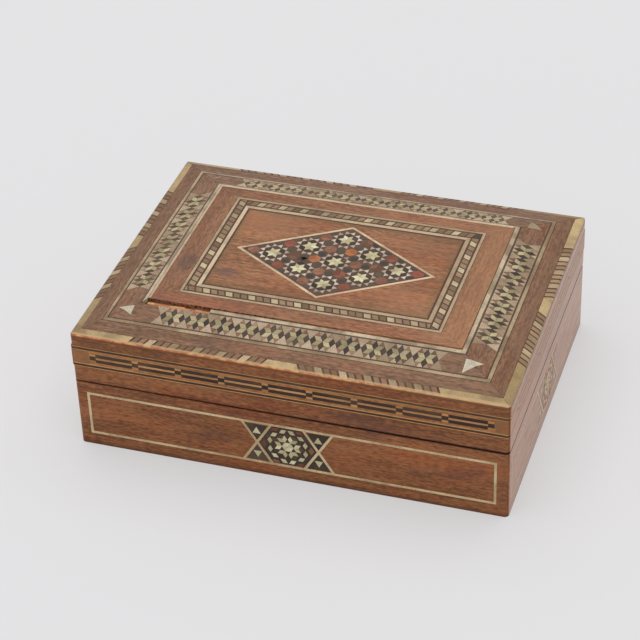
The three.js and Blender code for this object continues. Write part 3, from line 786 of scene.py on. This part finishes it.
# Marquetry bands: a running pattern let into each strip. Pairs of pale chevrons meet point to point
# between big pale triangles, with black lozenges and small brown triangles in the gaps. A sheet of dark
# glue lies under the tiles and fills their joints.
def marquetry(side, units, unit, shift, dark="black"):
    """Lays that many units, each that long, their middle that far to the right of the side's own."""
    width = span(side, MARQUETRY)[1] - span(side, THICK_STRING)[1]
    middle, step, row = width / 2, unit / 8, (width - 0.3) / 4
    end = units * 4
    band = Sheet()

    def at(x, y):
        return (x * step, middle + y * row)

    for x in range(-end, end + 1, 8):
        for up in (-1, 1):
            band.wedge(at(x, up * 2), at(x, 0), 2 * step, "buff")
        for hand in (-1, 1):
            if abs(x + hand) < end:
                band.lozenge(at(x + hand, 0), (step, 0), (0, row), dark)
    for x in range(4 - end, end, 8):
        for up in (-1, 1):
            band.lozenge(at(x, up), (step, 0), (0, row), dark)
            for hand in (-1, 1):
                arm, leg = (-0.5 * hand * step, 0.5 * up * row), (1.5 * hand * step, 0.5 * up * row)
                band.lozenge(at(x + 1.5 * hand, 0.5 * up), arm, leg, "cream")
                band.wedge(at(x + hand, 2 * up), at(x + hand, up), step, "buff")
                small = draw.choice(("rose", "walnut", "rose", "brick", "olive"))
                band.wedge(at(x + 2 * hand, up), at(x + 2 * hand, 2 * up), step, small)
    spot = on_roof(side, MARQUETRY) @ Matrix.Translation((shift, 0, 0))
    band.glue(f"lid_{side}_marquetry_tiles", spot, "lid", "marquetry", joint=0.07, proud=0.035)
    bed = Sheet()
    bed.bar(-end * step, end * step, middle - 2 * row, middle + 2 * row, "ebony")
    bed.glue(f"lid_{side}_marquetry_glue", spot, "lid", "marquetry", joint=0.0, proud=0.012, depth=0.3)


marquetry("front", 11, 9.26, 0.15)
# At the back and left the dark lozenges are laid in paler dull wood: partly dirt, partly painted glare.
marquetry("back", 11, 9.36, -0.85, "dull")
marquetry("right", 7, 9.0, -0.3)
marquetry("left", 7, 9.0, -1.0, "dull")


# Corner points: a right-angled slip of mother-of-pearl in each corner of the marquetry ring, laid over
# the mitre and bent to both slopes. The one at the back right has gone dull. The one at the back left
# is brown with dirt, with a pale sliver beside it.
def corner_point(name, tip, left, right, wood):
    point = Sheet()
    point.triangle(tip, left, right, wood)
    hand, up = math.copysign(1, tip[0]), math.copysign(1, tip[1])
    run_x, run_y = BOX[0] - FIELD[0], BOX[1] - FIELD[1]
    corner, across = Vector((hand * BOX[0], up * BOX[1], 0.0)), Vector((hand * run_y, -up * run_x, 0.0))
    sawn(point.mesh, corner, across)
    point.rub(joint=0.015, proud=0.06)
    for axis, run, sign, beyond in ((0, run_x, hand, True), (1, run_y, up, False)):
        slope = Matrix.Identity(4)
        slope[2][axis], slope[2][3] = -sign * ROOF_RISE / run, ROOF_FOOT + ROOF_RISE * BOX[axis] / run
        half = [vertex for vertex in point.mesh.verts if ((vertex.co - corner).dot(across) > 0.01) == beyond]
        bmesh.ops.transform(point.mesh, verts=half, matrix=slope)
    point.lay(name, Matrix.Identity(4), "lid")


corner_point("lid_corner_point_front_left", (-67.4, -43.7), (-61.4, -47.2), (-61.5, -42.7), "pearl")
corner_point("lid_corner_point_front_right", (66.5, -42.9), (60.2, -42.7), (60.3, -49.0), "pearl")
corner_point("lid_corner_point_back_right", (67.0, 43.0), (62.0, 47.2), (61.8, 41.7), "buff")
corner_point("lid_corner_point_back_left", (-67.2, 43.2), (-61.6, 41.8), (-61.9, 46.2), "rose")
corner_point("lid_corner_sliver_back_left", (-67.2, 43.6), (-61.9, 46.6), (-60.9, 48.2), "buff")


# Rope banding: slanted slips, two brown and one pale in turn, between two pale strings round the
# panel, in a dark ground. At each corner one side's slips run through and the next side's stop.
def on_panel(side, ring):
    """From the outer edge of a ring on the raised panel to the box."""
    return facing(side) @ Matrix.Translation((0, -span(side, ring)[1], FIELD_TOP))


ROPE = (48.6, 32.35)


def rope_side(side, first, period, lean):
    """The first pale slip's middle, the pale slips' spacing, and how far a slip's inner end is shifted."""
    length, _ = span(side, ROPE)
    strings = Sheet()
    for near, far in ((0.1, 1.15), (4.9, 6.4)):
        strings.bar(-length, length, near, far, "string")
    for end in (-1, 1):
        strings.trim((end * length, 0), (end, 1))
    strings.glue(f"lid_rope_strings_{side}", on_panel(side, ROPE), "lid", "rope", joint=0.045)
    slips = Sheet()
    wide, gap = 2.5, 0.55
    brown = (period - wide - 3 * gap) / 2
    second = (wide + brown) / 2 + gap
    place = first - 2 * period
    while place < length:
        pale = "grey" if side == "back" and place < first - period / 2 else "bone"
        steps = ((0.0, wide, pale), (second, brown, "russet"), (second + gap + brown, brown, "russet"))
        for step, size, wood in steps:
            wood = draw.choice((wood, wood, "olive", "rose")) if wood == "russet" else wood
            slips.lozenge((place + step, 3.03), ((size + lean) / 2, 1.2), ((lean - size) / 2, 1.2), wood)
        place += period
    slips.trim((1.6 - length, 0), (-1, 0))
    slips.trim((length - 4.8, 0), (1, 0))
    slips.glue(f"lid_rope_slips_{side}", on_panel(side, ROPE), "lid", "rope", joint=0.03)


rope_ground = finish("rope_ground", slip_recipe(tone(80, 60, 42), tone(104, 80, 56), 90.0, LONG))
dress(["lid_rope_banding"], rope_ground)
rope_side("front", -39.05, 8.57, -0.85)
rope_side("right", -28.5, 8.73, 1.2)
rope_side("back", -37.7, 8.42, 1.1)
rope_side("left", -28.25, 8.56, 1.1)


# Centre panel: one leaf of redder mahogany round the diamond, glued down with its fibres lengthwise. It
# is faded at the back left and front right, olive and dirty at the rim, and stained grey at the left.
def centre_recipe(place):
    colour, height = timber(place, tone(120, 76, 50), tone(172, 121, 84), 100.0, pores=0.4, patches=0.8)
    stain = blot(place, (-35.5, -16.5), (6.5, 3.6), 103.0)
    colour = mixed(stain * 0.55, colour, tone(96, 76, 72))
    grey = rise(noise(place, (24.0, 12.0, 12.0), 3.0, 104.0), 0.54, 0.74)
    colour = mixed(grey * 0.3, colour, tone(112, 84, 66))
    x, y, _ = parts(place)
    ragged = noise(place, (9.0, 5.0, 5.0), 4.0, 105.0)
    left_end, right_end, back = rise(x, -8.0, -34.0), rise(x, 8.0, 34.0), rise(y, 4.0, 18.0)
    colour = mixed(left_end * back * 0.45, colour, tone(178, 126, 90))
    colour = mixed(right_end * back * 0.35, colour, tone(118, 84, 62))
    colour = mixed(right_end * rise(y, -4.0, -18.0) * 0.3, colour, tone(178, 128, 92))
    past = x.maths("MAXIMUM", abs(x) - 41.6, abs(y) - 25.4)
    colour = mixed(rise(past + ragged * 5.0, -1.5, 1.5) * 0.32, colour, tone(116, 96, 62))
    colour = mixed(rise(past + ragged * 0.8, -0.6, 0.2) * 0.25, colour, tone(70, 48, 36))
    return polished(place, colour, height, 0.4 + 0.15 * rise(ragged, 0.4, 0.7))


dress(["lid_centre_veneer"], finish("centre_veneer", centre_recipe))


# Star lattice: nine six-pointed stars of lemon wood in a dark brown ground inside the diamond, each in
# a ring of twelve bone triangles. Hexagons of brown, red and orange wood lie where the rings meet, with
# grey lozenges between the stars. One tile is lost.
ground_recipe = slip_recipe(tone(92, 70, 56), tone(118, 92, 72), 106.0, 3.0)
dress(["lid_star_ground"], finish("star_ground", ground_recipe))
DIAMOND = (35.2, 21.9)
STEP_X, STEP_Y = DIAMOND[0] / 3, DIAMOND[1] / 3
LATTICE = Matrix.Translation((0, 0, FIELD_TOP))
# From a star's middle to its own lozenges, its ring of triangles, the black lozenges in that ring and the
# grey ones outside it, and from a hexagon's middle to its three lozenges
KITE, RING, NOTCH, OUTSIDE, HEXAGON = 1.64, 3.9, 3.22, 6.95, 1.25
LOST_TILE = (-12.4, -2.4)
BRIGHT_HEXAGONS = {"orange": ((3.9, 7.3), (-7.8, 0.0)), "red": ((-19.5, 7.3), (31.3, 0.0))}


def lattice_spot(across, along):
    return ((along + across) * STEP_X, (across - along) * STEP_Y)


def is_lost(place):
    return math.dist(place, LOST_TILE) <= 2.0


star_spots = [lattice_spot(across, along) for across in (-1, 0, 1) for along in (-1, 0, 1)]
for number, spot in enumerate(star_spots, 1):
    star = Sheet()
    for angle in SIXTHS:
        star.spoke(around(spot, angle, KITE), angle, KITE, 0.94, "lemon")
    made = star.glue(f"lid_star_{number}_kites", LATTICE, "lid", "star", proud=0.05, depth=0.7)
    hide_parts(f"lid_star_{number}")

rings = Sheet()
for spot in star_spots:
    for angle in SIXTHS:
        for hand in (-1, 1):
            foot = around(spot, angle, RING, hand * 1.3)
            if not is_lost(foot):
                rings.wedge(foot, around(foot, angle, 1.8), 1.06, "white")
        rings.spoke(around(spot, angle + 30, NOTCH), angle + 30, 1.32, 1.62, "black")

fillers = Sheet()
for across in range(-3, 4):
    for along in range(-3, 4):
        spot = lattice_spot(across, along)
        for angle in (30, 90, 150):
            middle = around(spot, angle, OUTSIDE)
            if not is_lost(middle):
                fillers.spoke(middle, angle, 1.75, 1.75, "grey")
        for hand in (-1, 1):
            corner = (spot[0] + hand * 2 * STEP_X / 3, spot[1])
            wood = draw.choice(("brick", "brick", "padouk", "walnut"))
            for bright, places in BRIGHT_HEXAGONS.items():
                if any(math.dist(corner, place) < 1.5 for place in places):
                    wood = bright
            for angle in (30, 150, 270):
                fillers.spoke(around(corner, angle, HEXAGON), angle, HEXAGON, 2.17, wood)
# Two splinters that are left in the lost tile's bed
fillers.lozenge((-11.9, -1.9), (2.4, -0.7), (0.2, 0.5), "ebony")
fillers.lozenge((-11.6, -0.7), (1.7, -0.3), (0.1, 0.7), "grey")

inset_x, inset_y = DIAMOND[0] - 0.5, DIAMOND[1] - 0.3
for sheet in (rings, fillers):
    for end in (-1, 1):
        for up in (-1, 1):
            sheet.trim((end * inset_x, 0), (end * inset_y, up * inset_x))
rings.glue("lid_star_rings", LATTICE, "lid", "star", joint=0.03, proud=0.045)
fillers.glue("lid_lattice_fillers", LATTICE, "lid", "ground", depth=0.35)


# Thick string's arris: at the left and back the string is worn over the field's edge, so that a pale
# strip of it lies on the flat top, and is seen from the front over the field's rim.
for side in ("back", "left"):
    length, worn = span(side, FIELD)[0], 0.85
    arris = Sheet()
    arris.bar(-length, length, 0.0, worn, "string")
    for end in (-1, 1):
        arris.trim((end * length, 0), (end, 1))
    spot = on_panel(side, FIELD)
    arris.glue(f"lid_thick_string_{side}_arris", spot, "lid", "string", joint=0.02, depth=0.3)


# Linings: one cross of wine-red felt, 0.8 mm thick, glued into the base, and a lower one into the lid.
# The arms stand against the walls and meet at the corners, and the felt is rounded in the folds.
def felt_recipe(place):
    fuzz = noise(place, 0.35, 4.0, 110.0)
    patch = noise(place, 18.0, 3.0, 111.0)
    colour = mixed(rise(patch, 0.3, 0.7), tone(104, 24, 30), tone(134, 36, 42))
    colour = mixed(rise(fuzz, 0.45, 0.7) * 0.5, colour, tone(160, 66, 68))
    return polished(place, colour, fuzz, 0.95, 0.00025) | {"Sheen Weight": 0.15, "Specular IOR Level": 0.1}


felt = finish("wine_felt", felt_recipe)


def felt_tray(node, body, closed, opened):
    """A cross of felt laid in with its arms up against the walls, as one skin given the cloth's thickness."""
    half_x, half_y, thick = 72.1, 52.1, 0.8
    middle = Matrix.Translation((0, 0, (closed + opened) / 2))
    mesh = bmesh.new()
    spread = middle @ Matrix.Diagonal((2 * half_x, 2 * half_y, abs(opened - closed), 1))
    bmesh.ops.create_cube(mesh, size=1, matrix=spread)
    mouth = [face for face in mesh.faces if abs(face.calc_center_median().z - opened) < 0.01]
    bmesh.ops.delete(mesh, geom=mouth, context="FACES_ONLY")
    folds = [edge for edge in mesh.edges if not edge.is_boundary]
    bmesh.ops.bevel(
        mesh, geom=folds, offset=1.7, segments=5, profile=0.5, affect="EDGES", material=-1
    )
    spacing = 6
    for axis, reach in ((0, 72), (1, 52), (2, 44)):
        for place in range(spacing - reach, reach, spacing):
            spot, normal = Vector((0, 0, 0)), Vector((0, 0, 0))
            spot[axis], normal[axis] = place, 1
            sawn(mesh, spot, normal)
    mesh.normal_update()
    for vertex in mesh.verts:
        slack = 0.3 + 0.3 * perlin.noise(vertex.co * 0.07 + Vector((closed, 0, 0)))
        vertex.co -= vertex.normal * slack * (0 if vertex.is_boundary else 1)
    bmesh.ops.solidify(mesh, geom=mesh.faces[:], thickness=thick)
    for face in mesh.faces:
        face.smooth = True
    bmesh.ops.scale(mesh, verts=mesh.verts[:], vec=(0.001, 0.001, 0.001))
    bmesh.ops.recalc_face_normals(mesh, faces=mesh.faces[:])
    made = piece(f"{node}_felt", mesh, [felt], body)
    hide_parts(node)


felt_tray("base_lining", "base", 4.1, 27.4)
felt_tray("lid_lining", "lid", 43.2, 29.2)


# Hinges: two small brass butts, a leaf of each let into either rim and held by two screws, turning on a
# pin through three knuckles. The brass is dull, and brown in the corners from handling.
def brass_recipe(place):
    tarnish = rise(noise(place, 3.0, 4.0, 120.0), 0.42, 0.68)
    scratch = noise(place, (4.0, 0.2, 0.2), 2.0, 121.0)
    colour = mixed(tarnish, tone(196, 158, 92), tone(112, 82, 44))
    return polished(place, colour, scratch, 0.32 + 0.3 * tarnish, 0.00003) | {"Metallic": 1.0}


brass = finish("aged_brass", brass_recipe)
for hinge in ("hinge_left", "hinge_right"):
    dress([f"{hinge}_base_leaf", f"{hinge}_lid_leaf", f"{hinge}_pin"], brass)


# Room: a pale floor under a soft overhead light and a weaker one from the front left, and a bright
# surround that the rubbed wood mirrors at a slant. The camera stands as it did for the photograph.
def lamp(name, place, size, watts):
    data = bpy.data.lights.new(name, "AREA")
    data.shape, data.size, data.energy = "SQUARE", size, watts
    light = bpy.data.objects.new(name, data)
    towards_box = Vector(place).to_track_quat("Z", "Y").to_matrix().to_4x4()
    light.matrix_world = Matrix.Translation(place) @ towards_box
    bpy.context.scene.collection.objects.link(light)


lamp("overhead_light", (0.0, 0.25, 1.9), 2.4, 21.0)
lamp("front_light", (-0.5, -1.6, 0.9), 1.4, 3.0)

world = bpy.data.worlds.new("surround")
world.use_nodes = True
world.node_tree.nodes["Background"].inputs["Color"].default_value = tone(228, 228, 230)
world.node_tree.nodes["Background"].inputs["Strength"].default_value = 0.8
bpy.context.scene.world = world


def floor_recipe(place):
    drift = noise(place, 900.0, 1.0, 130.0)
    return {"Base Color": mixed(drift, tone(226, 226, 228), tone(222, 221, 221)), "Roughness": 0.9}


def lit_paper(material, glow, share):
    """Shows the camera and mirrors a share of evenly lit paper, so that the shadows on it stay pale."""
    tree = material.node_tree
    shader = Wire(tree.nodes["Principled BSDF"].outputs[0])
    seen = shader.add("LightPath", {}, {}, "Is Camera Ray") + shader.add("LightPath", {}, {}, "Is Glossy Ray")
    paper = shader.add("Emission", {}, {"Color": glow, "Strength": 1.0})
    both = shader.add("MixShader", {}, {0: seen * share, 1: shader, 2: paper})
    tree.links.new(both.socket, tree.nodes["Material Output"].inputs["Surface"])
    return material


ground = bmesh.new()
bmesh.ops.create_grid(ground, x_segments=1, y_segments=1, size=4.0)
floor_data = bpy.data.meshes.new("floor")
ground.to_mesh(floor_data)
ground.free()
floor_data.materials.append(lit_paper(finish("floor_card", floor_recipe), tone(229, 228, 229), 0.5))
floor = bpy.data.objects.new("floor", floor_data)
bpy.context.scene.collection.objects.link(floor)

camera_data = bpy.data.cameras.new("camera")
camera_data.sensor_width, camera_data.lens = 36.0, 123.35
camera_data.clip_start, camera_data.clip_end = 0.05, 50.0
camera = bpy.data.objects.new("camera", camera_data)
yaw, pitch, roll = (math.radians(angle) for angle in (-18.92, 35.81, -2.27))
level_aim = Matrix.Rotation(-yaw, 4, "Z") @ Matrix.Rotation(math.pi / 2 - pitch, 4, "X")
aim = level_aim @ Matrix.Rotation(roll, 4, "Z")
camera.matrix_world = Matrix.Translation((0.2075, -0.6248, 0.5031)) @ aim
bpy.context.scene.collection.objects.link(camera)
bpy.context.scene.camera = camera
bpy.context.scene.view_settings.view_transform = "Standard"
